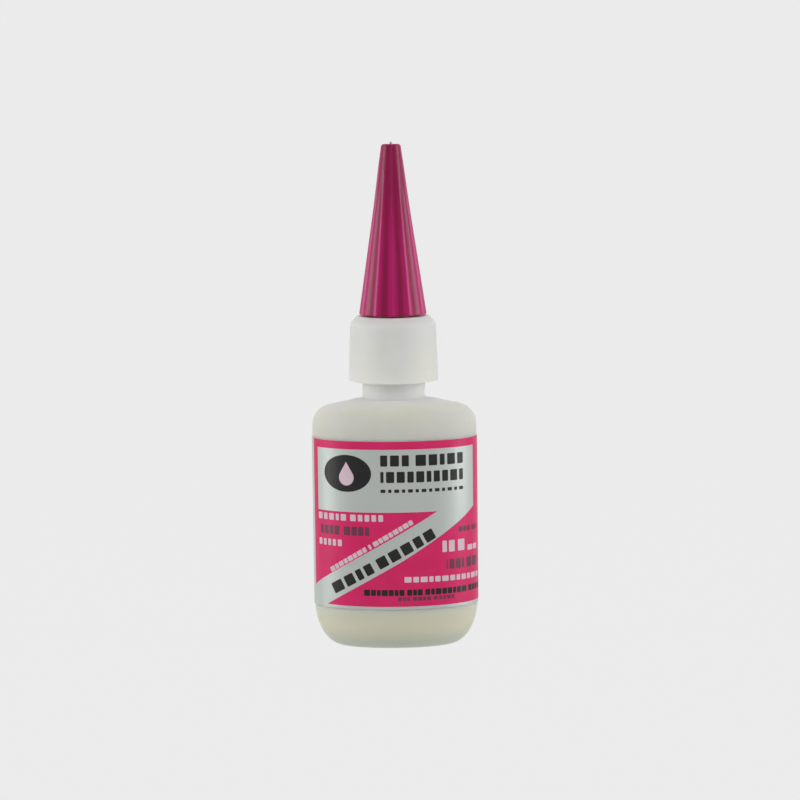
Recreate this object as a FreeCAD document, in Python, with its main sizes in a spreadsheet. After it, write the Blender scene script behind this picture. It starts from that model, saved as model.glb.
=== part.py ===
import FreeCAD, Part
import math
import os

import Sketcher

# Glue applicator bottle: an oval squeeze bottle with a wrap-round label, a screw-on
# nozzle closure with its sealing washer, a fluted cone cap and the pin that keeps the
# nozzle clear. Millimetres, +Z up, the wide side of the oval along X, the front of the
# label towards -Y, and the origin at the centre of the bottle's foot.

DIMENSIONS = {
    # bottle shell
    "body_half_width": 14.9,
    "body_half_depth": 8.9,
    "wall": 0.8,
    "floor_thickness": 1.6,
    "heel_width": 5.0,
    "heel_depth": 4.0,
    "heel_rise": 8.4,
    "shoulder_start": 40.5,
    "shoulder_round": 3.6,
    "shoulder_slope": 11.5,
    "pushup_half_width": 7.6,
    "pushup_half_depth": 3.2,
    "pushup_rise": 0.7,
    "pushup_lean": 1.2,
    # bottle neck and its thread
    "neck_root": 45.6,
    "neck_top": 58.3,
    "neck_radius": 5.7,
    "neck_bore": 4.15,
    "neck_crest": 6.45,
    "neck_pitch": 2.117,
    "neck_turns": 1.75,
    "neck_thread_base": 53.0,
    "neck_ridge_root": 1.0,
    "neck_ridge_crest": 0.45,
    # how far cutters run past the faces that they open
    "overrun": 1.0,
    # label and adhesive
    "label_bottom": 7.8,
    "label_top": 38.4,
    "label_gap": 0.02,
    "label_thickness": 0.1,
    "label_overlap": 6.0,
    "fill_gap": 0.03,
    "fill_level": 39.2,
    # sealing washer
    "washer_radius": 6.2,
    "washer_bore": 4.3,
    "washer_thickness": 0.65,
    "washer_gap": 0.05,
    # nozzle closure
    "collar_bottom": 48.5,
    "collar_top": 60.2,
    "collar_radius_bottom": 8.12,
    "collar_radius_top": 7.78,
    "collar_chamfer": 1.25,
    "collar_crown_round": 1.5,
    "collar_edge_round": 0.3,
    "collar_bore": 6.65,
    "collar_crest": 5.95,
    "boss_radius": 3.7,
    "boss_crest": 4.2,
    "boss_top": 64.7,
    "boss_taper": 0.35,
    "nozzle_tip": 88.5,
    "nozzle_tip_radius": 0.95,
    "nozzle_wall": 0.75,
    "channel_radius": 3.0,
    "orifice_radius": 0.45,
    "orifice_length": 2.4,
    # two-start thread between the nozzle and the cap
    "cap_pitch": 1.6,
    "cap_lead": 3.2,
    "cap_thread_base": 60.95,
    "cap_thread_turns": 0.9,
    "cap_ridge_root": 0.8,
    "cap_ridge_crest": 0.35,
    "ridge_embed": 0.15,
    # cone cap
    "cap_bottom": 60.47,
    "cap_top": 91.1,
    "cap_radius_bottom": 6.12,
    "cap_radius_top": 1.73,
    "cap_flutes": 12,
    "flute_depth": 0.24,
    "flute_middle": 80.0,
    "flute_middle_depth": 0.12,
    "flute_end": 87.1,
    "cap_waist": 0.09,
    "cap_edge": 0.15,
    "cap_tip_round": 0.25,
    "cap_thread_bore": 4.45,
    "cap_thread_crest": 3.95,
    "cap_thread_top": 65.0,
    "cap_cavity_radius": 4.15,
    "cap_cavity_tip_radius": 1.35,
    "cap_cavity_top": 88.9,
    # anti-clog pin
    "pin_radius": 0.25,
    "pin_gap": 0.03,
    "pin_bottom": 83.6,
    "pin_top": 91.5,
    "pin_point": 0.5,
    "pin_edge": 0.06,
}

HEEL_ANGLES = (90, 75, 60, 45, 30, 15, 0)
ROUND_STEPS = 6
SLOPE_STEPS = 4
NODES = (
    "bottle",
    "wrap_label",
    "adhesive_fill",
    "neck_washer",
    "nozzle_closure",
    "anti_clog_pin",
    "cone_cap",
)


def make_sheet(doc):
    """The spreadsheet that holds every driving dimension, one alias to a row."""
    sheet = doc.addObject("Spreadsheet::Sheet", "dims")
    for row, (alias, number) in enumerate(DIMENSIONS.items(), start=1):
        sheet.set(f"A{row}", alias)
        sheet.set(f"B{row}", str(number))
        sheet.setAlias(f"B{row}", alias)
    doc.recompute()
    return sheet


# ---------------------------------------------------------------- ovals and lofts


def oval(doc, name, half_width, half_depth, height):
    """A flat ellipse, its long axis along X, sized and placed by three expressions."""
    ellipse = doc.addObject("Part::Ellipse", name)
    ellipse.setExpression("MajorRadius", half_width)
    ellipse.setExpression("MinorRadius", half_depth)
    ellipse.setExpression("Placement.Base.z", height)
    return ellipse


def loft(doc, name, sections):
    """A closed solid through a list of ovals."""
    solid = doc.addObject("Part::Loft", name)
    solid.Sections = sections
    solid.Solid = True
    solid.Ruled = len(sections) == 2
    return solid


def fuse(doc, name, shapes):
    """The union of a list of objects."""
    union = doc.addObject("Part::MultiFuse", name)
    union.Shapes = shapes
    return union


def cut(doc, name, base, tool):
    """One object less another."""
    difference = doc.addObject("Part::Cut", name)
    difference.Base = base
    difference.Tool = tool
    return difference


def heel(doc, name, inset, floor):
    """The rounded foot of the oval body, inset from its outer face, from floor to wall."""
    sections = []
    for angle in HEEL_ANGLES:
        sections.append(
            oval(
                doc,
                f"{name}_heel_{angle}",
                f"dims.body_half_width - dims.heel_width + (dims.heel_width - {inset}) * cos({angle})",
                f"dims.body_half_depth - dims.heel_depth + (dims.heel_depth - {inset}) * cos({angle})",
                f"dims.heel_rise - (dims.heel_rise - {floor}) * sin({angle})",
            )
        )
    return loft(doc, f"{name}_heel", sections)


def wall_prism(doc, name, inset, bottom, top):
    """The straight stretch of the oval body between two heights."""
    half_width = f"dims.body_half_width - {inset}"
    half_depth = f"dims.body_half_depth - {inset}"
    ends = [
        oval(doc, f"{name}_prism_bottom", half_width, half_depth, bottom),
        oval(doc, f"{name}_prism_top", half_width, half_depth, top),
    ]
    return loft(doc, f"{name}_prism", ends)


def shoulder(doc, name, inset, end_radius):
    """The shoulder, from the top of the wall to a round neck. Along X it is a round that
    runs out into a straight slope. Along Y it is one round that ends at the same slope."""
    knee = "(90 - dims.shoulder_slope)"
    round_radius = f"(dims.shoulder_round - {inset})"
    wall_depth = f"(dims.body_half_depth - {inset})"
    knee_width = f"(dims.body_half_width - dims.shoulder_round + {round_radius} * cos{knee})"
    knee_height = f"(dims.shoulder_start + {round_radius} * sin{knee})"
    slope_run = f"({knee_width} - {end_radius})"
    slope_rise = f"({slope_run} * tan(dims.shoulder_slope))"
    whole_rise = f"({knee_height} + {slope_rise} - dims.shoulder_start)"

    def section(label, width, rise):
        turn = f"asin(({rise}) / {whole_rise} * sin{knee})"
        narrowing = f"(1 - cos({turn})) / (1 - cos{knee})"
        depth = f"{wall_depth} - ({wall_depth} - {end_radius}) * {narrowing}"
        flat_depth = f"min({width}; {depth})"
        return oval(doc, f"{name}_{label}", width, flat_depth, f"dims.shoulder_start + {rise}")

    rounded = []
    for step in range(ROUND_STEPS + 1):
        angle = f"({knee} * {step} / {ROUND_STEPS})"
        width = f"dims.body_half_width - dims.shoulder_round + {round_radius} * cos{angle}"
        rounded.append(section(f"round_{step}", width, f"{round_radius} * sin{angle}"))
    sloped = rounded[-1:]
    for step in range(1, SLOPE_STEPS + 1):
        share = f"{step} / {SLOPE_STEPS}"
        width = f"{knee_width} - {slope_run} * {share}"
        rise = f"({knee_height} - dims.shoulder_start + {slope_rise} * {share})"
        sloped.append(section(f"slope_{step}", width, rise))
    return [loft(doc, f"{name}_round", rounded), loft(doc, f"{name}_slope", sloped)]


def cylinder(doc, name, radius, bottom, top):
    """An upright cylinder between two heights."""
    solid = doc.addObject("Part::Cylinder", name)
    solid.setExpression("Radius", radius)
    solid.setExpression("Height", f"{top} - ({bottom})")
    solid.setExpression("Placement.Base.z", bottom)
    return solid


# ---------------------------------------------------------------- sketches and threads


def origin_plane(body, role):
    """The body's own origin plane or axis with this role."""
    return next(f for f in body.Origin.OriginFeatures if f.Role == role)


def outline_sketch(body, name, corners):
    """A closed outline on the body's XZ plane. Each corner is a pair of expressions for
    its radius and height, and a radius of None puts the corner on the axis."""
    sketch = body.newObject("Sketcher::SketchObject", name)
    sketch.AttachmentSupport = (origin_plane(body, "XZ_Plane"), [""])
    sketch.MapMode = "FlatFace"
    points = []
    for radius, height in corners:
        x = 0.0 if radius is None else float(sketch.evalExpression(radius))
        points.append(FreeCAD.Vector(x, float(sketch.evalExpression(height)), 0))
    count = len(points)
    for i in range(count):
        sketch.addGeometry(Part.LineSegment(points[i], points[(i + 1) % count]), False)
    for i in range(count):
        sketch.addConstraint(Sketcher.Constraint("Coincident", i, 2, (i + 1) % count, 1))
    for i, (radius, height) in enumerate(corners):
        if radius is None:
            sketch.addConstraint(Sketcher.Constraint("PointOnObject", i, 1, -2))
        else:
            index = sketch.addConstraint(
                Sketcher.Constraint("DistanceX", -1, 1, i, 1, points[i].x)
            )
            sketch.setExpression(f"Constraints[{index}]", radius)
        index = sketch.addConstraint(
            Sketcher.Constraint("DistanceY", -1, 1, i, 1, points[i].y)
        )
        sketch.setExpression(f"Constraints[{index}]", height)
    return sketch


def revolve(body, name, corners):
    """A solid of revolution about the vertical axis from a closed outline."""
    sketch = outline_sketch(body, f"{name}_outline", corners)
    feature = body.newObject("PartDesign::Revolution", name)
    feature.Profile = sketch
    feature.ReferenceAxis = (sketch, ["V_Axis"])
    feature.Angle = 360
    return feature


def groove(body, name, corners):
    """A turned cavity about the vertical axis from a closed outline. Stops if it cuts
    nothing."""
    body.Document.recompute()
    before = body.Shape.Volume
    sketch = outline_sketch(body, f"{name}_outline", corners)
    feature = body.newObject("PartDesign::Groove", name)
    feature.Profile = sketch
    feature.ReferenceAxis = (sketch, ["V_Axis"])
    feature.Angle = 360
    body.Document.recompute()
    if not body.Shape.Volume < before:
        raise RuntimeError(f"{name} cut nothing")
    return feature


def thread_ridge(body, name, side, root, crest, base, widths, lead, turns):
    """A right-hand helical ridge. It starts on the +X side, or the -X side where side is
    -1, and its trapezoid runs from a little inside the wall at root out to crest."""
    outwards = DIMENSIONS[crest] > DIMENSIONS[root]
    embed = "dims.ridge_embed"
    deep = f"(dims.{root} - {embed})" if outwards else f"(dims.{root} + {embed})"
    tip = f"dims.{crest}"
    root_half = f"dims.{widths[0]} / 2"
    crest_half = f"dims.{widths[1]} / 2"
    corners = [
        (f"{side} * {deep}", f"{base} - {root_half}"),
        (f"{side} * {tip}", f"{base} - {crest_half}"),
        (f"{side} * {tip}", f"{base} + {crest_half}"),
        (f"{side} * {deep}", f"{base} + {root_half}"),
    ]
    sketch = outline_sketch(body, f"{name}_outline", corners)
    feature = body.newObject("PartDesign::AdditiveHelix", name)
    feature.Profile = sketch
    feature.ReferenceAxis = (sketch, ["V_Axis"])
    feature.Mode = 1
    feature.setExpression("Pitch", lead)
    feature.setExpression("Turns", turns)
    feature.LeftHanded = False
    feature.Reversed = False
    return feature


def ring_edges(shape, radius, height):
    """The names of the level circular edges of this radius at this height."""
    names = []
    for i, edge in enumerate(shape.Edges, start=1):
        circle = edge.Curve
        if not isinstance(circle, Part.Circle):
            continue
        level = abs(circle.Center.z - height) < 1e-4
        if level and abs(circle.Radius - radius) < 1e-4:
            names.append(f"Edge{i}")
    return names


def round_edge(body, name, radius, height, size):
    """A fillet on the ring edge of the body's tip at this radius and height."""
    body.Document.recompute()
    base = body.Tip
    feature = body.newObject("PartDesign::Fillet", name)
    feature.Base = (base, ring_edges(base.Shape, radius, height))
    feature.setExpression("Radius", size)
    return feature


# ---------------------------------------------------------------- the sub-parts


def make_bottle(doc):
    """The blown oval shell with its threaded neck, open at the mouth."""
    outer = fuse(
        doc,
        "bottle_outside",
        [
            heel(doc, "outer", "0", "0"),
            wall_prism(doc, "outer", "0", "dims.heel_rise", "dims.shoulder_start"),
            *shoulder(doc, "outer", "0", "dims.neck_radius"),
            cylinder(
                doc,
                "outer_neck",
                "dims.neck_radius",
                "dims.neck_root - dims.overrun",
                "dims.neck_top",
            ),
        ],
    )
    inner = fuse(
        doc,
        "bottle_inside",
        [
            heel(doc, "inner", "dims.wall", "dims.floor_thickness"),
            wall_prism(doc, "inner", "dims.wall", "dims.heel_rise", "dims.shoulder_start"),
            *shoulder(doc, "inner", "dims.wall", "dims.neck_bore"),
            cylinder(
                doc,
                "inner_neck",
                "dims.neck_bore",
                "dims.shoulder_start",
                "dims.neck_top + dims.overrun",
            ),
        ],
    )
    pushup = loft(
        doc,
        "pushup",
        [
            oval(doc, "pushup_mouth", "dims.pushup_half_width", "dims.pushup_half_depth", "0"),
            oval(
                doc,
                "pushup_crown",
                "dims.pushup_half_width - dims.pushup_lean",
                "dims.pushup_half_depth - dims.pushup_lean",
                "dims.pushup_rise",
            ),
        ],
    )
    hollow = cut(doc, "bottle_hollow", outer, inner)
    shell = cut(doc, "bottle_shell", hollow, pushup)
    doc.recompute()
    body = doc.addObject("PartDesign::Body", "bottle")
    body.BaseFeature = shell
    thread_ridge(
        body,
        "neck_thread",
        1,
        "neck_radius",
        "neck_crest",
        "dims.neck_thread_base",
        ("neck_ridge_root", "neck_ridge_crest"),
        "dims.neck_pitch",
        "dims.neck_turns",
    )
    return body


def make_label(doc):
    """The label: a thin sleeve round the straight wall, its ends lapped at the back."""
    outside = "(0 - dims.label_gap - dims.label_thickness)"
    lapped = "(0 - dims.label_gap - 2 * dims.label_thickness)"
    sleeve = wall_prism(doc, "label", outside, "dims.label_bottom", "dims.label_top")
    proud = wall_prism(doc, "lap", lapped, "dims.label_bottom", "dims.label_top")
    band = doc.addObject("Part::Box", "lap_band")
    band.setExpression("Length", "dims.label_overlap")
    band.setExpression("Width", "dims.body_half_depth * 2")
    band.setExpression("Height", "dims.label_top - dims.label_bottom")
    band.setExpression("Placement.Base.x", "0 - dims.label_overlap / 2")
    band.setExpression("Placement.Base.z", "dims.label_bottom")
    lap = doc.addObject("Part::MultiCommon", "label_lap")
    lap.Shapes = [proud, band]
    core = wall_prism(
        doc,
        "label_core",
        "(0 - dims.label_gap)",
        "dims.label_bottom - dims.overrun",
        "dims.label_top + dims.overrun",
    )
    return cut(doc, "wrap_label", fuse(doc, "label_outside", [sleeve, lap]), core)


def make_adhesive(doc):
    """The adhesive inside the bottle, up to its level just under the shoulder."""
    inset = "(dims.wall + dims.fill_gap)"
    floor = "(dims.floor_thickness + dims.fill_gap)"
    return fuse(
        doc,
        "adhesive_fill",
        [
            heel(doc, "fill", inset, floor),
            wall_prism(doc, "fill", inset, "dims.heel_rise", "dims.fill_level"),
        ],
    )


def make_washer(doc):
    """The flat sealing washer between the bottle's mouth and the closure's ceiling."""
    bottom = "dims.neck_top + dims.washer_gap"
    top = f"{bottom} + dims.washer_thickness"
    disc = cylinder(doc, "washer_disc", "dims.washer_radius", bottom, top)
    hole = cylinder(
        doc,
        "washer_hole",
        "dims.washer_bore",
        f"{bottom} - dims.overrun",
        f"{top} + dims.overrun",
    )
    return cut(doc, "neck_washer", disc, hole)


def make_closure(doc):
    """The nozzle closure: threaded collar, threaded boss and tapering nozzle, in one."""
    body = doc.addObject("PartDesign::Body", "nozzle_closure")
    ceiling = "dims.neck_top + 2 * dims.washer_gap + dims.washer_thickness"
    boss_end = "dims.boss_radius - dims.boss_taper"
    revolve(
        body,
        "closure_form",
        [
            ("dims.collar_radius_bottom", "dims.collar_bottom"),
            ("dims.collar_radius_top", "dims.collar_top - dims.collar_chamfer"),
            ("dims.collar_radius_top - dims.collar_chamfer", "dims.collar_top"),
            ("dims.boss_radius", "dims.collar_top"),
            ("dims.boss_radius", "dims.boss_top"),
            (boss_end, "dims.boss_top + dims.boss_taper"),
            ("dims.nozzle_tip_radius", "dims.nozzle_tip"),
            ("dims.orifice_radius", "dims.nozzle_tip"),
            ("dims.orifice_radius", "dims.nozzle_tip - dims.orifice_length"),
            (f"{boss_end} - dims.nozzle_wall", "dims.boss_top + dims.boss_taper"),
            ("dims.channel_radius", "dims.boss_top - dims.boss_taper"),
            ("dims.channel_radius", ceiling),
            ("dims.collar_bore", ceiling),
            ("dims.collar_bore", "dims.collar_bottom"),
        ],
    )
    size = DIMENSIONS
    crown_height = size["collar_top"] - size["collar_chamfer"]
    crown_radius = size["collar_radius_top"] - size["collar_chamfer"]
    round_edge(
        body, "crown_round", size["collar_radius_top"], crown_height, "dims.collar_crown_round"
    )
    round_edge(body, "top_round", crown_radius, size["collar_top"], "dims.collar_edge_round")
    round_edge(
        body,
        "bottom_round",
        size["collar_radius_bottom"],
        size["collar_bottom"],
        "dims.collar_edge_round",
    )
    thread_ridge(
        body,
        "collar_thread",
        1,
        "collar_bore",
        "collar_crest",
        "dims.neck_thread_base - dims.neck_pitch / 2",
        ("neck_ridge_root", "neck_ridge_crest"),
        "dims.neck_pitch",
        "dims.neck_turns",
    )
    for start, side in enumerate((1, -1), start=1):
        thread_ridge(
            body,
            f"boss_thread_{start}",
            side,
            "boss_radius",
            "boss_crest",
            "dims.cap_thread_base + dims.cap_pitch / 2",
            ("cap_ridge_root", "cap_ridge_crest"),
            "dims.cap_lead",
            "dims.cap_thread_turns",
        )
    return body


def make_pin(doc):
    """The steel pin down the middle of the cap, its point inside the nozzle's orifice."""
    body = doc.addObject("PartDesign::Body", "anti_clog_pin")
    revolve(
        body,
        "pin_form",
        [
            (None, "dims.pin_bottom"),
            ("dims.pin_radius", "dims.pin_bottom + dims.pin_point"),
            ("dims.pin_radius", "dims.pin_top - dims.pin_edge"),
            ("dims.pin_radius - dims.pin_edge", "dims.pin_top"),
            (None, "dims.pin_top"),
        ],
    )
    return body


def lobed_ring(lobes, crest, depth, height):
    """A closed wire of arcs, crest and valley in turn, that run smoothly into each other,
    one crest centred on +X. With no depth it is a plain circle in as many arcs."""

    def point(radius, angle):
        return FreeCAD.Vector(radius * math.cos(angle), radius * math.sin(angle), height)

    quarter = math.pi / lobes / 2
    joint = crest - depth / 2
    arcs = []
    for i in range(2 * lobes):
        middle = 2 * quarter * i
        peak = crest if i % 2 == 0 else crest - depth
        ends = [point(joint, middle - quarter), point(joint, middle + quarter)]
        arcs.append(Part.Arc(ends[0], point(peak, middle), ends[1]).toShape())
    return Part.Wire(arcs)


def fluted_cone(doc, sheet):
    """The outside of the cap: a tall cone of soft flutes that fade out below its tip."""
    bottom, top = sheet.cap_bottom, sheet.cap_top
    taper = (sheet.cap_radius_bottom - sheet.cap_radius_top) / (top - bottom)

    def ring(height, depth, inset=0.0):
        crest = sheet.cap_radius_bottom - taper * (height - bottom) - inset
        return lobed_ring(int(sheet.cap_flutes), crest, depth, height)

    rings = [
        ring(bottom, sheet.flute_depth, sheet.cap_edge),
        ring(bottom + sheet.cap_edge, sheet.flute_depth),
        ring(sheet.flute_middle, sheet.flute_middle_depth, sheet.cap_waist),
        ring(sheet.flute_end, 0.0),
        ring(top - sheet.cap_tip_round, 0.0),
        ring(top, 0.0, sheet.cap_tip_round),
    ]
    feature = doc.addObject("Part::Feature", "fluted_cone")
    feature.Shape = Part.makeLoft(rings, True, True)
    feature.Placement = FreeCAD.Placement()
    return feature


def make_cap(doc, sheet):
    """The cone cap: fluted outside, tapering cavity, two-start thread and pin hole."""
    outside = fluted_cone(doc, sheet)
    doc.recompute()
    body = doc.addObject("PartDesign::Body", "cone_cap")
    body.BaseFeature = outside
    hole = "dims.pin_radius + dims.pin_gap"
    groove(
        body,
        "cap_cavity",
        [
            (None, "dims.cap_bottom - dims.overrun"),
            ("dims.cap_thread_bore", "dims.cap_bottom - dims.overrun"),
            ("dims.cap_thread_bore", "dims.cap_thread_top"),
            ("dims.cap_cavity_radius", "dims.cap_thread_top + dims.boss_taper"),
            ("dims.cap_cavity_tip_radius", "dims.cap_cavity_top"),
            (hole, "dims.cap_cavity_top"),
            (hole, "dims.cap_top + dims.overrun"),
            (None, "dims.cap_top + dims.overrun"),
        ],
    )
    for start, side in enumerate((1, -1), start=1):
        thread_ridge(
            body,
            f"cap_thread_{start}",
            side,
            "cap_thread_bore",
            "cap_thread_crest",
            "dims.cap_thread_base + dims.cap_pitch",
            ("cap_ridge_root", "cap_ridge_crest"),
            "dims.cap_lead",
            "dims.cap_thread_turns",
        )
    return body


# ---------------------------------------------------------------- checks and export


def check(doc, nodes):
    """Stops if any object failed, or a sub-part isn't one valid closed solid."""
    for item in doc.Objects:
        if {"Invalid", "Error"} & set(item.State):
            raise RuntimeError(f"{item.Name} failed: {item.State}")
    for node in nodes:
        shape = node.Shape
        if shape.isNull() or not shape.isValid() or len(shape.Solids) != 1:
            raise RuntimeError(f"{node.Label}: null, invalid or {len(shape.Solids)} solids")
        print(f"{node.Label}: {shape.Volume:.2f} mm3, box {shape.BoundBox}")


def main():
    doc = FreeCAD.newDocument("glue_applicator_bottle")
    sheet = make_sheet(doc)
    nodes = [
        make_bottle(doc),
        make_label(doc),
        make_adhesive(doc),
        make_washer(doc),
        make_closure(doc),
        make_pin(doc),
        make_cap(doc, sheet),
    ]
    doc.recompute()
    for node, label in zip(nodes, NODES):
        node.Label = label
    check(doc, nodes)
    os.makedirs("parts", exist_ok=True)
    for node in nodes:
        node.Shape.exportStep(os.path.join("parts", node.Label + ".step"))


main()
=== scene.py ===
import math

import bmesh
import bpy
from mathutils import Matrix, Vector


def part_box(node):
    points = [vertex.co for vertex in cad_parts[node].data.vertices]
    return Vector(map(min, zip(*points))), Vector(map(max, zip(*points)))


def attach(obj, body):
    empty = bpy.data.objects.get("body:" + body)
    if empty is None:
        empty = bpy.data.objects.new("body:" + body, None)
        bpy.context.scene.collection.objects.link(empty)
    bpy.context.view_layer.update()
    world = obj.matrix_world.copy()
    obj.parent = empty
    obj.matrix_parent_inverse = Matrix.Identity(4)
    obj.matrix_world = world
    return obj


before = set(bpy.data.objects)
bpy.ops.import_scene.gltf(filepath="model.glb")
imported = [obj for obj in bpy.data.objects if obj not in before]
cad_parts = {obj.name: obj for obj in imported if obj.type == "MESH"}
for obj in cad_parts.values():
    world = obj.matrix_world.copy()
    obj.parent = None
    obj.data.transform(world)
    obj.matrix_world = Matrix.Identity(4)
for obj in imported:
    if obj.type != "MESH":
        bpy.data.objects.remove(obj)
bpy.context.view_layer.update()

MM = 0.001
scene = bpy.context.scene


def linear(red, green, blue):
    """A display colour in 0-255 as linear light."""
    out = []
    for channel in (red, green, blue):
        c = channel / 255
        out.append(c / 12.92 if c <= 0.04045 else ((c + 0.055) / 1.055) ** 2.4)
    return tuple(out)


# ---------------------------------------------------------------- node helpers


class Nodes:
    """A new material and short calls that add and join its nodes."""

    def __init__(self, name):
        self.material = bpy.data.materials.new(name)
        self.material.use_nodes = True
        self.tree = self.material.node_tree
        self.shader = self.tree.nodes["Principled BSDF"]
        self.normal = None

    def set(self, **values):
        """Sets the shader's own sockets, with _ for each space in a socket's name."""
        for name, value in values.items():
            self.shader.inputs[name.replace("_", " ")].default_value = value

    def add(self, kind, **settings):
        node = self.tree.nodes.new(kind)
        for key, value in settings.items():
            setattr(node, key, value)
        return node

    def join(self, output, target):
        self.tree.links.new(output, target)

    def coordinates(self, scale=(1, 1, 1)):
        """The object's own coordinates in metres, stretched if a scale is given."""
        place = self.add("ShaderNodeTexCoord").outputs["Object"]
        if scale == (1, 1, 1):
            return place
        stretch = self.add("ShaderNodeMapping")
        stretch.inputs["Scale"].default_value = scale
        self.join(place, stretch.inputs["Vector"])
        return stretch.outputs["Vector"]

    def axis(self, name):
        """One coordinate of the surface point, in metres."""
        split = self.add("ShaderNodeSeparateXYZ")
        self.join(self.coordinates(), split.inputs["Vector"])
        return split.outputs[name]

    def noise(self, scale, detail=3.0, stretch=(1, 1, 1)):
        """A mottle of about scale patches to a metre."""
        node = self.add("ShaderNodeTexNoise")
        node.inputs["Scale"].default_value = scale
        node.inputs["Detail"].default_value = detail
        self.join(self.coordinates(stretch), node.inputs["Vector"])
        return node.outputs["Fac"]

    def spread(self, value, low, high, start=0.0, end=1.0):
        """Maps a value from start..end to low..high, held at both ends."""
        node = self.add("ShaderNodeMapRange", interpolation_type="SMOOTHSTEP")
        node.inputs["From Min"].default_value = start
        node.inputs["From Max"].default_value = end
        node.inputs["To Min"].default_value = low
        node.inputs["To Max"].default_value = high
        self.join(value, node.inputs["Value"])
        return node.outputs["Result"]

    def math(self, operation, first, second=None):
        """A sum on one or two values, each a number or another node's output."""
        node = self.add("ShaderNodeMath", operation=operation)
        for socket, value in zip(node.inputs, (first, second)):
            if value is None:
                continue
            if isinstance(value, (int, float)):
                socket.default_value = value
            else:
                self.join(value, socket)
        return node.outputs["Value"]

    def blend(self, factor, first, second):
        """A mix of two colours, each a tuple or another node's output."""
        node = self.add("ShaderNodeMix", data_type="RGBA")
        colour_sockets = [s for s in node.inputs if s.type == "RGBA"]
        for socket, value in zip(colour_sockets, (first, second)):
            if isinstance(value, tuple):
                socket.default_value = (*value, 1.0)
            else:
                self.join(value, socket)
        factor_socket = next(s for s in node.inputs if s.type == "VALUE")
        self.join(factor, factor_socket)
        return next(s for s in node.outputs if s.type == "RGBA")

    def bump(self, height, distance):
        """Adds a layer of relief over any that is already there."""
        node = self.add("ShaderNodeBump")
        node.inputs["Distance"].default_value = distance
        self.join(height, node.inputs["Height"])
        if self.normal is not None:
            self.join(self.normal, node.inputs["Normal"])
        self.normal = node.outputs["Normal"]
        self.join(self.normal, self.shader.inputs["Normal"])

    def colour(self, output):
        self.join(output, self.shader.inputs["Base Color"])

    def roughness(self, output):
        self.join(output, self.shader.inputs["Roughness"])


# ---------------------------------------------------------------- materials


def milky_plastic(name, light, shade):
    """Natural polyethylene: milky, waxy, faintly clouded, with fine drawn lines."""
    m = Nodes(name)
    cloud = m.spread(m.noise(110.0, 4.0), 0.0, 1.0, 0.35, 0.65)
    colour = m.blend(cloud, light, shade)
    m.roughness(m.spread(m.noise(900.0), 0.5, 0.62))
    m.bump(m.noise(420.0, 4.0, (1, 1, 0.15)), 0.03 * MM)
    m.bump(m.noise(2600.0, 2.0), 0.006 * MM)
    m.set(Specular_IOR_Level=0.3)
    m.set(Subsurface_Weight=1.0, Subsurface_Scale=2.0 * MM, Subsurface_Radius=(1.0, 1.0, 0.9))
    return m, colour


WARM_ZONE = (5.5 * MM, 9.0 * MM)
FOOT_TINT_AND_SHADE_ZONE = (0.8 * MM, 5.0 * MM)
NECK_ZONE = (43.5 * MM, 46.0 * MM)
PARTING_LINE = (0.05 * MM, 0.16 * MM)


def bottle_plastic():
    """The blown bottle: the adhesive shows warm through its wall, the neck shows cooler, and the
    mould's parting line runs up both narrow sides. The foot is painted greyer and darker, partly
    for its heavier plastic and partly as painted shade near the floor."""
    m, colour = milky_plastic("bottle_plastic", linear(251, 248, 228), linear(248, 245, 219))
    height = m.axis("Z")
    low = m.spread(height, 1.0, 0.0, *WARM_ZONE)
    colour = m.blend(m.math("MULTIPLY", low, 0.9), colour, linear(250, 241, 208))
    # Painted shade: the foot is greyed and darkened, partly for its heavier plastic and partly
    # for the shade near the floor.
    foot = m.spread(height, 1.0, 0.0, *FOOT_TINT_AND_SHADE_ZONE)
    colour = m.blend(m.math("MULTIPLY", foot, 0.85), colour, linear(200, 210, 198))
    neck = m.spread(height, 0.0, 1.0, *NECK_ZONE)
    colour = m.blend(neck, colour, linear(254, 254, 250))
    m.colour(colour)
    side = m.math("ABSOLUTE", m.axis("Y"))
    m.bump(m.spread(side, 1.0, 0.0, *PARTING_LINE), 0.05 * MM)
    return m.material


def closure_plastic():
    """The moulded closure, a little whiter and smoother than the bottle."""
    m, colour = milky_plastic("closure_plastic", linear(253, 253, 241), linear(250, 250, 234))
    m.colour(colour)
    return m.material


# Ridge count, and the heights over which the painted flute shade and ridge light fade out.
CAP_RIBS = 12
RIB_FADE = (70.0 * MM, 88.0 * MM)


def cap_plastic():
    """Satin magenta polypropylene, with painted shade darkening the flutes and painted light
    paling the ridges between them, both fading out towards the top; rosy towards its edges, with
    slight flow marks and fine rub marks."""
    m = Nodes("cap_magenta")
    flow = m.spread(m.noise(160.0, 4.0, (1, 1, 0.2)), 0.0, 1.0, 0.3, 0.7)
    # Painted shade: the darker magenta laid into the flutes.
    flute_shade = m.blend(flow, linear(150, 6, 72), linear(142, 5, 66))
    # Painted light: the paler magenta laid along the ridge crests.
    ridge_light = m.blend(flow, linear(192, 16, 106), linear(184, 13, 99))
    # The ridge pattern puts the painted light on the crests and the painted shade in the flutes,
    # fading out towards the top.
    around = m.math("ARCTAN2", m.axis("Y"), m.axis("X"))
    ribs = m.math("COSINE", m.math("MULTIPLY", around, CAP_RIBS))
    ribs = m.spread(ribs, 0.0, 1.0, -1.0, 0.7)
    fade = m.spread(m.axis("Z"), 1.0, 0.0, *RIB_FADE)
    m.colour(m.blend(m.math("MULTIPLY", ribs, fade), flute_shade, ridge_light))
    m.roughness(m.spread(m.noise(1400.0, 3.0, (1, 1, 0.3)), 0.28, 0.36))
    m.set(Specular_IOR_Level=0.45)
    m.set(Sheen_Weight=0.9, Sheen_Roughness=0.5, Sheen_Tint=(*linear(255, 90, 170), 1.0))
    m.bump(m.noise(350.0, 4.0, (1, 1, 0.25)), 0.02 * MM)
    m.bump(m.noise(3000.0, 2.0), 0.003 * MM)
    m.set(Subsurface_Weight=0.15, Subsurface_Scale=0.6 * MM)
    return m.material


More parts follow.
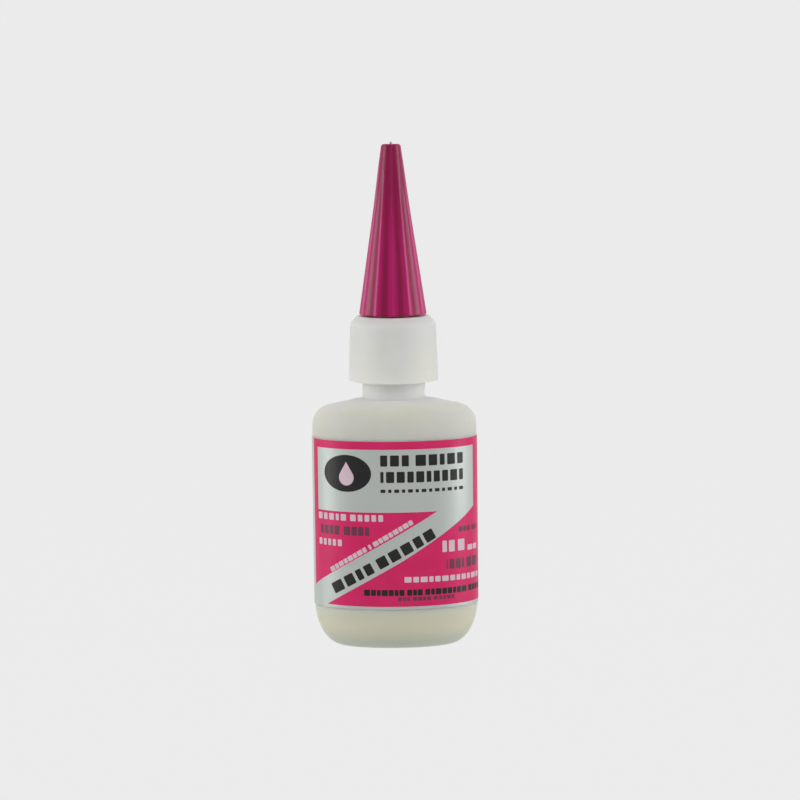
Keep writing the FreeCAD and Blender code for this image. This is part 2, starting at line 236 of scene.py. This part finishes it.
def silver_film():
    """The label's bare film: pale silver grey with a fine rolled grain."""
    m = Nodes("label_film")
    cloud = m.noise(90.0, 3.0)
    m.colour(m.blend(cloud, linear(214, 220, 216), linear(207, 214, 209)))
    m.set(Metallic=0.4)
    m.roughness(m.spread(m.noise(1500.0, 3.0, (1, 1, 0.2)), 0.42, 0.54))
    m.bump(m.noise(2500.0, 2.0, (1, 1, 0.2)), 0.003 * MM)
    m.bump(m.noise(120.0, 2.0), 0.02 * MM)
    return m.material


def ink(name, colour, second):
    """Printing ink: a thin satin coat with slight mottle."""
    m = Nodes(name)
    m.colour(m.blend(m.spread(m.noise(260.0, 4.0), 0.0, 1.0, 0.3, 0.7), colour, second))
    m.roughness(m.spread(m.noise(1500.0), 0.36, 0.5))
    m.bump(m.noise(1800.0, 2.0), 0.002 * MM)
    m.bump(m.noise(120.0, 2.0), 0.02 * MM)
    return m.material


def adhesive_liquid():
    """The liquid inside, hidden by the milky wall."""
    m = Nodes("adhesive")
    m.colour(m.blend(m.noise(120.0), linear(214, 208, 176), linear(206, 199, 164)))
    m.roughness(m.spread(m.noise(300.0), 0.05, 0.12))
    return m.material


def washer_foam():
    """The washer's pale closed-cell foam."""
    m = Nodes("washer_foam")
    m.colour(m.blend(m.noise(1800.0), linear(236, 236, 232), linear(222, 222, 216)))
    m.roughness(m.spread(m.noise(1200.0), 0.6, 0.8))
    m.bump(m.noise(3500.0, 2.0), 0.02 * MM)
    return m.material


def pin_steel():
    """Drawn steel wire, with fine lines along it."""
    m = Nodes("pin_steel")
    drawn = m.noise(6000.0, 3.0, (1, 1, 0.05))
    m.colour(m.blend(drawn, (0.56, 0.56, 0.57), (0.42, 0.42, 0.44)))
    m.roughness(m.spread(drawn, 0.22, 0.4))
    m.bump(drawn, 0.002 * MM)
    m.set(Metallic=1.0)
    return m.material


def dress(node, material):
    """Gives a CAD node its one material."""
    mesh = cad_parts[node].data
    mesh.materials.clear()
    mesh.materials.append(material)


dress("bottle", bottle_plastic())
dress("nozzle_closure", closure_plastic())
dress("wrap_label", silver_film())
dress("adhesive_fill", adhesive_liquid())
dress("neck_washer", washer_foam())
dress("anti_clog_pin", pin_steel())
dress("cone_cap", cap_plastic())


# ---------------------------------------------------------------- the label's printing
# Positions on the label are (u, v): u is the distance round it from the middle of the
# front, positive towards +X, and v is the height above the foot, both in millimetres.

label_low, label_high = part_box("wrap_label")
HALF_WIDTH = label_high.x / MM
HALF_DEPTH = -label_low.y / MM
LAP_RISE = label_high.y / MM - HALF_DEPTH
TABLE_STEPS = 4000


def arc_table():
    """Distances round the label's oval from the middle of the front, one to a step."""
    table = [0.0]
    step = 2 * math.pi / TABLE_STEPS
    for i in range(TABLE_STEPS):
        t = (i + 0.5) * step
        speed = math.hypot(HALF_WIDTH * math.cos(t), HALF_DEPTH * math.sin(t))
        table.append(table[-1] + step * speed)
    return table


ARC = arc_table()
ROUND = ARC[-1]
BACK = ROUND / 2


def on_label(u, v, rise):
    """The point at (u, v), lifted off the label's face by rise."""
    u = u % ROUND
    low, high = 0, TABLE_STEPS
    while high - low > 1:
        middle = (low + high) // 2
        if ARC[middle] <= u:
            low = middle
        else:
            high = middle
    share = (u - ARC[low]) / (ARC[high] - ARC[low])
    t = 2 * math.pi * (low + share) / TABLE_STEPS
    normal = Vector((math.sin(t) / HALF_WIDTH, -math.cos(t) / HALF_DEPTH, 0)).normalized()
    face = Vector((HALF_WIDTH * math.sin(t), -HALF_DEPTH * math.cos(t), v))
    return (face + normal * rise) * MM


STRIP = 0.5
SNAP = 1e-5
INK_GAP = 0.001
INK_THICK = 0.008


def printed(name, shapes, material, layer=0, lap=False):
    """A coat of ink as one closed shell for each flat shape, wrapped round the label."""
    bottom = INK_GAP + layer * (INK_GAP + INK_THICK) + (LAP_RISE if lap else 0.0)
    flat = bmesh.new()
    for shape in shapes:
        flat.faces.new([flat.verts.new((u, v, 0)) for u, v in shape])
    flat.normal_update()
    bmesh.ops.triangulate(flat, faces=flat.faces[:])
    left = min(vert.co.x for vert in flat.verts)
    right = max(vert.co.x for vert in flat.verts)
    for i in range(1, int((right - left) / STRIP) + 1):
        bmesh.ops.bisect_plane(
            flat,
            geom=flat.verts[:] + flat.edges[:] + flat.faces[:],
            dist=SNAP,
            plane_co=(left + i * STRIP, 0, 0),
            plane_no=(1, 0, 0),
        )
    flat.verts.index_update()
    count = len(flat.verts)
    points = [on_label(v.co.x, v.co.y, bottom) for v in flat.verts]
    points += [on_label(v.co.x, v.co.y, bottom + INK_THICK) for v in flat.verts]
    faces = []
    for face in flat.faces:
        ring = [v.index for v in face.verts]
        faces.append(ring[::-1])
        faces.append([i + count for i in ring])
    for edge in flat.edges:
        if len(edge.link_faces) == 1:
            a, b = (v.index for v in edge.verts)
            faces.append([a, b, b + count, a + count])
    flat.free()
    mesh = bpy.data.meshes.new(name)
    mesh.from_pydata(points, [], faces)
    shell = bmesh.new()
    shell.from_mesh(mesh)
    bmesh.ops.recalc_face_normals(shell, faces=shell.faces[:])
    shell.to_mesh(mesh)
    shell.free()
    mesh.materials.append(material)
    piece = bpy.data.objects.new(name, mesh)
    scene.collection.objects.link(piece)
    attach(piece, "bottle_body")


def block(u_low, v_low, u_high, v_high):
    """A plain rectangle."""
    return [(u_low, v_low), (u_high, v_low), (u_high, v_high), (u_low, v_high)]


NICK = 0.12
NICK_SHARE = 0.1


def row(start, end, height, words, gap=0.28, space=0.8):
    """Blocks with nicked corners that stand for a line of print, from start to end of its
    base line. Each word is a string of digits, each the relative width of one block."""
    start, end = Vector(start), Vector(end)
    along = (end - start).normalized()
    up = Vector((-along.y, along.x)) * height
    blocks = sum(len(word) for word in words)
    spent = gap * (blocks - len(words)) + space * (len(words) - 1)
    unit = ((end - start).length - spent) / sum(int(d) for word in words for d in word)
    shapes, reach = [], 0.0
    nick = min(NICK, height * NICK_SHARE)
    for word in words:
        for digit in word:
            width = unit * int(digit)
            a = start + along * reach
            b = a + along * width
            side = along * nick
            rise = up.normalized() * nick
            corners = [a + side, b - side, b + rise, b + up - rise]
            corners += [b + up - side, a + up + side, a + up - rise, a + rise]
            shapes.append([tuple(c) for c in corners])
            reach += width + gap
        reach += space - gap
    return shapes


def ellipse(middle, half_width, half_height, steps=40):
    """A level oval."""
    turn = 2 * math.pi / steps
    return [
        (
            middle[0] + half_width * math.cos(i * turn),
            middle[1] + half_height * math.sin(i * turn),
        )
        for i in range(steps)
    ]


def drop(middle, radius, height, steps=28):
    """A falling drop: a round bottom that runs up to a point."""
    lean = math.acos(radius / (height - radius))
    shape = [(middle[0], middle[1] + height - radius)]
    for i in range(steps + 1):
        angle = math.pi / 2 - lean - (2 * math.pi - 2 * lean) * i / steps
        shape.append((middle[0] + radius * math.cos(angle), middle[1] + radius * math.sin(angle)))
    return shape


PINK_TOP = 38.33
HEADER_TOP = 36.88
HEADER_LEFT = -15.55
HEADER_RIGHT = 15.95
HEADER_BOTTOM = 25.5
HEADER_CORNER = HEADER_BOTTOM + 0.25
PANEL_FOOT = 8.35
FIELD_LEFT = -17.0
FIELD_RIGHT = 21.0
BAND_TIP = 7.7
BAND_SLOPE = 0.568
BAND_LOW_BEND = (1.52, 16.79)
BAND_LOW_END = -13.32
BACK_BAND_START = 20.2
BACK_FOOT_TOP = PANEL_FOOT + 0.9
LAP_EDGE = 3.1
LAP_MARGIN = 0.2
BACK_NEAR = 22.6
BACK_MARGIN = 1.0
BACK_TOP = 34.6
BACK_LINES = 14
LINE_STEP = 1.75
SHORT_LINES = (4, 9, 13)
SHORT_BY = 4.5

pink = ink("ink_pink", linear(233, 30, 108), linear(226, 26, 102))
black = ink("ink_black", linear(34, 33, 35), linear(24, 23, 25))
white = ink("ink_white", linear(236, 212, 222), linear(228, 200, 212))
grey = ink("ink_grey", linear(120, 60, 84), linear(108, 50, 76))

band_left = HEADER_BOTTOM - (BAND_TIP - FIELD_LEFT) * BAND_SLOPE
front_field = [
    (FIELD_LEFT, PINK_TOP),
    (FIELD_LEFT, band_left),
    (BAND_TIP, HEADER_BOTTOM),
    (HEADER_LEFT, HEADER_BOTTOM),
    (HEADER_LEFT, HEADER_TOP),
    (HEADER_RIGHT, HEADER_TOP),
    (HEADER_RIGHT, HEADER_CORNER),
    BAND_LOW_BEND,
    (BAND_LOW_END, PANEL_FOOT),
    (FIELD_RIGHT, PANEL_FOOT),
    (FIELD_RIGHT, PINK_TOP),
]
back_left = -BACK + LAP_EDGE
back_right = BACK - LAP_EDGE
bands = []
lap_bands = []
lap_left, lap_right = BACK - LAP_EDGE + LAP_MARGIN, BACK + LAP_EDGE - LAP_MARGIN
for low, high in ((HEADER_TOP, PINK_TOP), (PANEL_FOOT, BACK_FOOT_TOP)):
    bands.append(block(FIELD_RIGHT, low, back_right, high))
    bands.append(block(back_left, low, -BACK_BAND_START, high))
    lap_bands.append(block(lap_left, low, lap_right, high))
printed("label_print_pink", [front_field, *bands], pink)
printed("label_print_lap", lap_bands, pink, lap=True)

# Each row is its start, its end, its height, its words, and the gaps between blocks and
# between words.
emblem = (-8.95, 32.5)
drop_middle = (emblem[0], emblem[1] - 0.75)
on_film = [
    ellipse(emblem, 4.7, 3.35),
    *row((-2.6, 33.87), (13.1, 33.87), 2.0, ["454", "65354"], 0.5, 1.2),
    *row((-2.6, 30.9), (13.1, 30.9), 2.0, ["2554534453"], 0.45),
    *row((-2.6, 29.1), (13.1, 29.1), 0.6, ["3232323232323"], 0.5),
    *row((-11.45, 10.4), (7.45, 20.75), 2.0, ["6534", "55545"], 0.6, 1.1),
]
printed("label_print_black", on_film, black)
printed("label_emblem_drop", [drop(drop_middle, 1.45, 4.3)], white, 1)

over_pink_white = [
    *row((-15.4, 23.87), (-2.2, 23.87), 1.2, ["54535", "54444"], 0.4, 0.8),
    *row((-15.3, 19.17), (-10.0, 19.17), 1.2, ["54445"], 0.4),
    *row((-12.2, 14.3), (3.3, 23.4), 0.9, ["43434343", "2", "43434343"], 0.16, 0.5),
    *row((8.6, 17.95), (13.3, 17.95), 2.1, ["34", "5"], 0.4, 0.7),
    *row((14.1, 17.8), (17.0, 17.8), 1.0, ["55"], 0.25),
    *row((1.5, 12.77), (17.6, 12.57), 1.0, ["545345434354"], 0.32),
]
printed("label_print_white", over_pink_white, white, 1)
over_pink_dark = [
    *row((-14.85, 21.25), (-4.75, 21.25), 1.6, ["3434", "5443"], 0.25, 0.9),
    *row((12.0, 21.4), (17.0, 21.4), 0.95, ["434", "43"], 0.2, 0.5),
    *row((9.4, 14.8), (17.2, 14.8), 1.8, ["1442", "551"], 0.3, 0.6),
    *row((0.3, 9.4), (10.9, 9.4), 0.7, ["433", "4434", "44343"], 0.2, 0.5),
]
printed("label_print_faint", over_pink_dark, grey, 1)
caution_words = ["5435434", "434", "43544345", "4345"]
caution_row = row((-5.85, 10.35), (18.3, 10.35), 1.1, caution_words, 0.16, 0.5)
printed("label_print_small", caution_row, black, 1)

back_far = back_right - BACK_MARGIN
back_rows = []
for start, end in ((-back_far, -BACK_NEAR), (BACK_NEAR, back_far)):
    for line in range(BACK_LINES):
        height = BACK_TOP - LINE_STEP * line
        line_end = end - (SHORT_BY if line in SHORT_LINES else 0.0)
        words = ["4343", "343", "44", "3434"] if line % 2 else ["34", "4343", "434", "43"]
        back_rows += row((start, height), (line_end, height), 0.8, words, 0.14, 0.45)
printed("label_print_back", back_rows, black)


# ---------------------------------------------------------------- studio

FLOOR_SIZE = 12.0
FLOOR_BASE = 0.012
FLOOR_GLOW = 0.826
FRONT_GLOW = 0.17
BOUNCE = 0.72
LIGHT_AIM = Vector((0, 0, 0.05))
SENSOR_WIDTH = 36.0
BACKGROUND = linear(235, 235, 235)[0]
CAMERA_DISTANCE = 0.5035
CAMERA_ELEVATION = math.radians(6.8)
CAMERA_ROLL = math.radians(0.7)
VIEW_WIDTH = 145.3 * MM
AIM = Vector((1.1 * MM, 0.0, 44.77 * MM))


def make_floor():
    """A plain pale floor, evenly lit by itself so that it has no bright patches."""
    half = FLOOR_SIZE / 2
    mesh = bpy.data.meshes.new("studio_floor")
    corners = [(-half, -half, 0), (half, -half, 0), (half, half, 0), (-half, half, 0)]
    mesh.from_pydata(corners, [], [(0, 1, 2, 3)])
    floor = bpy.data.objects.new("studio_floor", mesh)
    floor.visible_diffuse = False
    floor.visible_glossy = False
    scene.collection.objects.link(floor)
    m = Nodes("studio_floor")
    m.set(Base_Color=(FLOOR_BASE, FLOOR_BASE, FLOOR_BASE, 1.0))
    m.set(Roughness=1.0, Specular_IOR_Level=0.0)
    m.set(Emission_Color=(1.0, 1.0, 1.0, 1.0), Emission_Strength=FLOOR_GLOW)
    mesh.materials.append(m.material)


def make_world():
    """Dim towards the front, bright behind, a bounce from below, and pale where the
    camera looks past the floor."""
    world = bpy.data.worlds.new("studio")
    world.use_nodes = True
    tree = world.node_tree
    background = tree.nodes["Background"]
    direction = tree.nodes.new("ShaderNodeTexCoord")
    split = tree.nodes.new("ShaderNodeSeparateXYZ")
    tree.links.new(direction.outputs["Generated"], split.inputs["Vector"])
    behind = tree.nodes.new("ShaderNodeMapRange")
    behind.interpolation_type = "SMOOTHSTEP"
    behind.inputs["From Min"].default_value = -0.2
    behind.inputs["From Max"].default_value = 0.8
    behind.inputs["To Min"].default_value = FRONT_GLOW
    behind.inputs["To Max"].default_value = BACKGROUND
    tree.links.new(split.outputs["Y"], behind.inputs["Value"])
    below = tree.nodes.new("ShaderNodeMapRange")
    below.interpolation_type = "SMOOTHSTEP"
    below.inputs["From Min"].default_value = -0.15
    below.inputs["From Max"].default_value = -0.35
    tree.links.new(split.outputs["Z"], below.inputs["Value"])
    bounce = tree.nodes.new("ShaderNodeMix")
    bounce.inputs["B"].default_value = BOUNCE
    tree.links.new(below.outputs["Result"], bounce.inputs["Factor"])
    tree.links.new(behind.outputs["Result"], bounce.inputs["A"])
    path = tree.nodes.new("ShaderNodeLightPath")
    choose = tree.nodes.new("ShaderNodeMix")
    choose.inputs["B"].default_value = BACKGROUND
    tree.links.new(path.outputs["Is Camera Ray"], choose.inputs["Factor"])
    tree.links.new(bounce.outputs["Result"], choose.inputs["A"])
    tree.links.new(choose.outputs["Result"], background.inputs["Strength"])
    background.inputs["Color"].default_value = (1.0, 1.0, 1.0, 1.0)
    scene.world = world


def soft_light(name, azimuth, distance, height, width, tall, radiance):
    """A softbox aimed at the object. Azimuth 0 is at the camera, and 90 is towards +X."""
    light = bpy.data.lights.new(name, "AREA")
    light.shape = "RECTANGLE"
    light.size = width
    light.size_y = tall
    light.energy = radiance * math.pi * width * tall
    holder = bpy.data.objects.new(name, light)
    turn = math.radians(azimuth)
    place = Vector((math.sin(turn) * distance, -math.cos(turn) * distance, height))
    holder.location = place
    aim = LIGHT_AIM - place
    holder.rotation_euler = aim.to_track_quat("-Z", "Y").to_euler()
    scene.collection.objects.link(holder)


def make_camera():
    """A camera a little above the object, square on to its front."""
    camera = bpy.data.cameras.new("camera")
    camera.sensor_width = SENSOR_WIDTH
    camera.lens = camera.sensor_width * CAMERA_DISTANCE / VIEW_WIDTH
    camera.clip_start = 0.01
    camera.clip_end = 20.0
    holder = bpy.data.objects.new("camera", camera)
    back = Vector((0, -math.cos(CAMERA_ELEVATION), math.sin(CAMERA_ELEVATION)))
    holder.location = AIM + back * CAMERA_DISTANCE
    facing = (-back).to_track_quat("-Z", "Y").to_matrix()
    holder.rotation_euler = (Matrix.Rotation(CAMERA_ROLL, 3, -back) @ facing).to_euler()
    scene.collection.objects.link(holder)
    scene.camera = holder


scene.view_settings.view_transform = "Standard"
make_floor()
make_world()
make_camera()
soft_light("left_softbox", -77, 0.5, 0.12, 0.17, 0.40, 4.6)
soft_light("right_softbox", 76, 0.5, 0.12, 0.17, 0.40, 4.6)
soft_light("front_softbox", 8, 1.4, 0.28, 0.30, 0.30, 1.2)
soft_light("high_softbox", 0, 0.62, 0.72, 0.5, 0.5, 3.0)
